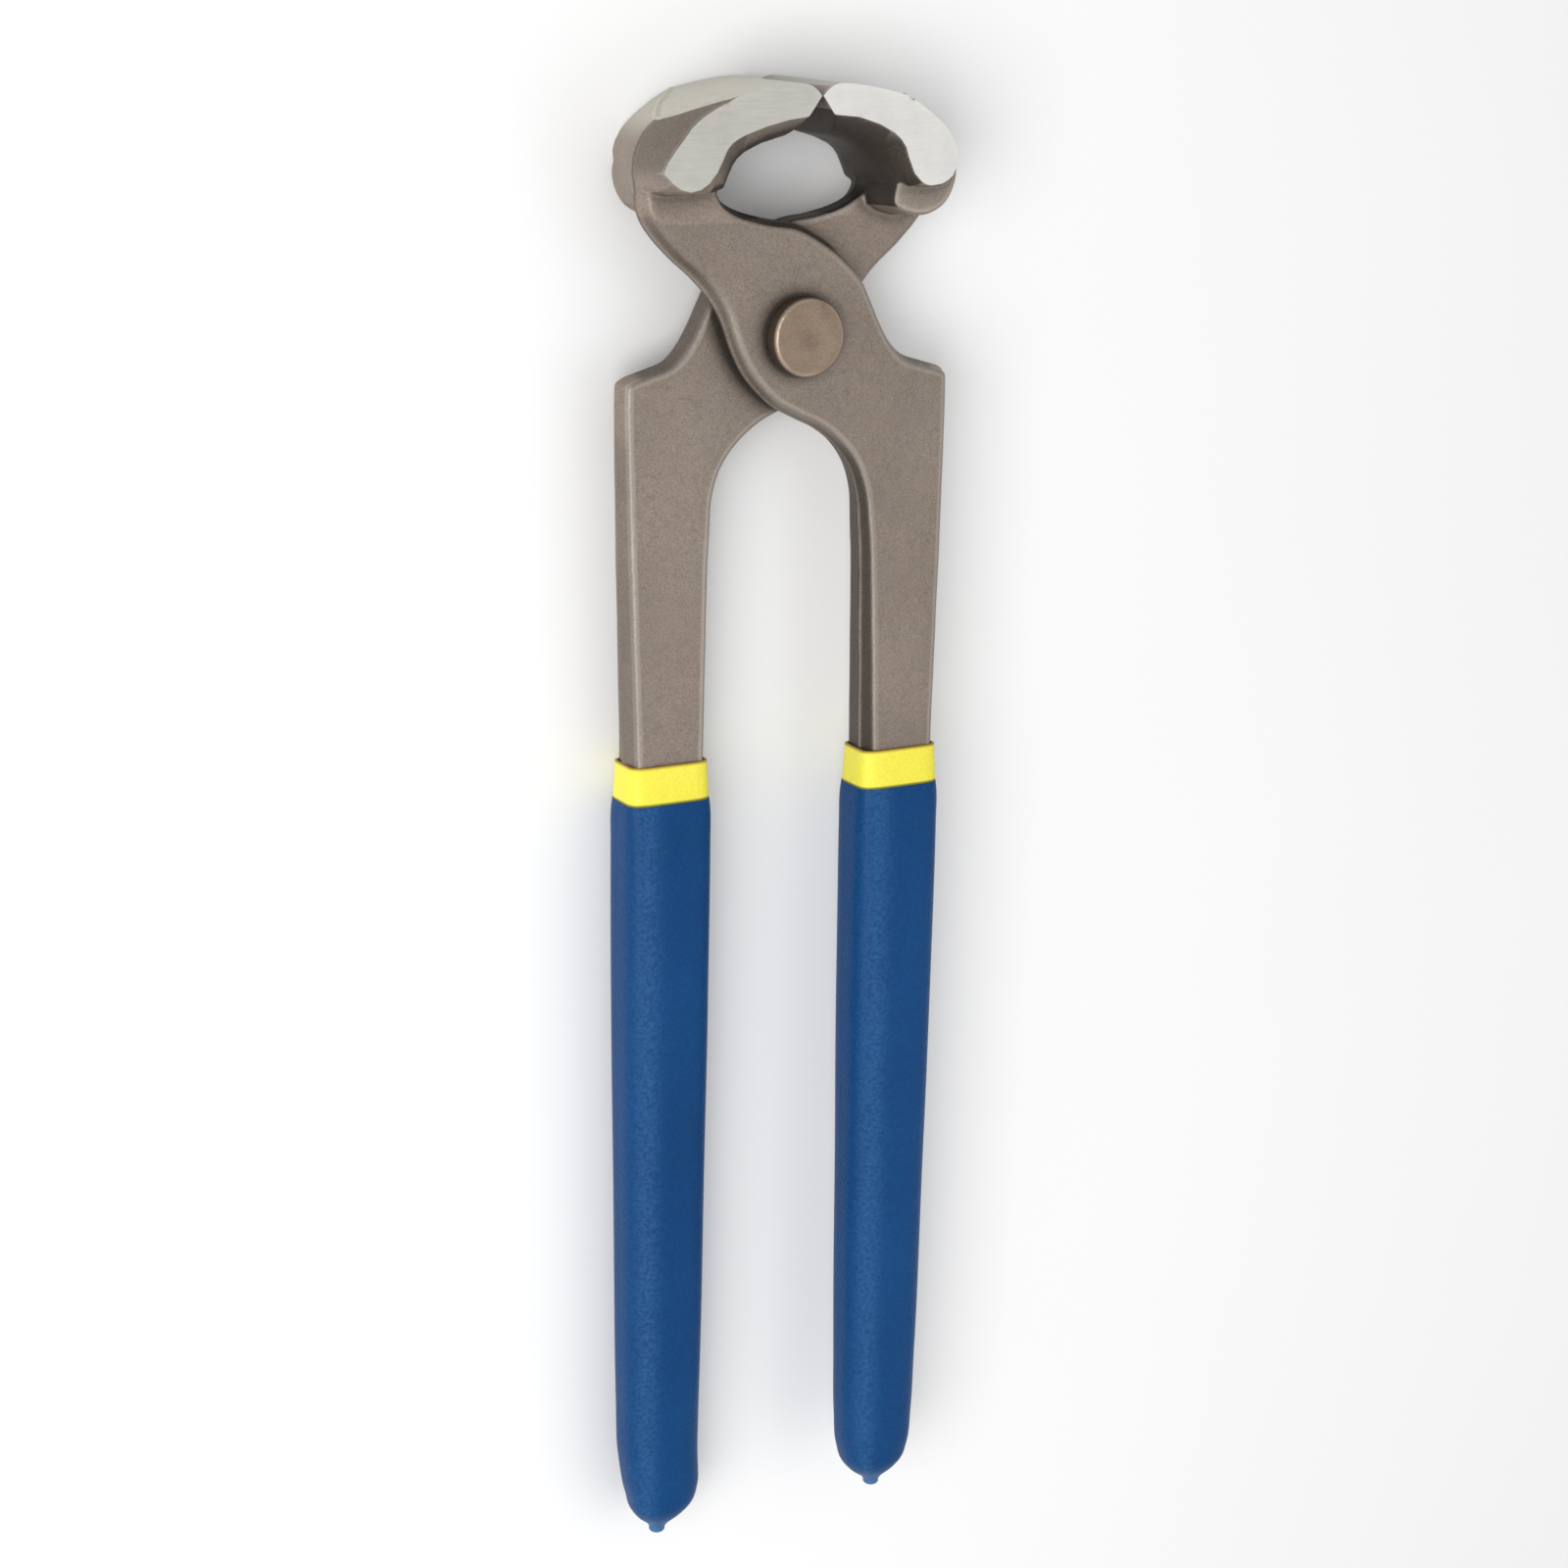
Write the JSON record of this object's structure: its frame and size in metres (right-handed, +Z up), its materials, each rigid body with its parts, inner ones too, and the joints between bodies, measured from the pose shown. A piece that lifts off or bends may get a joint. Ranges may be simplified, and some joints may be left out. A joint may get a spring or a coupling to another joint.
{
  "type": "hoof nipper",
  "caption": "Long-handled nipper with crossed forged steel halves, wide curved cutting jaws, a riveted joint and dipped plastic grips.",
  "frame": {"origin": "centre of the bounding box's base, on the surface that the tool lies on", "axes": "+Y from the grips to the jaws, +Z up along the rivet towards its round head, +X to the right seen from above with the head away"},
  "size_m": [0.0696, 0.3053, 0.0282],
  "materials": {
    "forged_steel": "shot-blasted warm grey forging, bright ground jaw faces",
    "rivet_steel": "satin bronze-brown",
    "yellow_pvc": "satin dipped plastic",
    "blue_pvc": "finely pebbled satin dipped plastic"
  },
  "bodies": {
    "rear": {"rear_half": "forged_steel", "pivot_rivet": "rivet_steel", "rear_grip_undercoat": "yellow_pvc", "rear_grip": "blue_pvc"},
    "front": {"front_half": "forged_steel", "front_grip_undercoat": "yellow_pvc", "front_grip": "blue_pvc"}
  },
  "joints": [
    {"name": "pivot", "type": "hinge", "parent": "rear", "child": "front", "pos_m": [0, 0.10433, 0.0141], "axis": [0, 0, 1], "range_deg": [0, 52]}
  ]
}
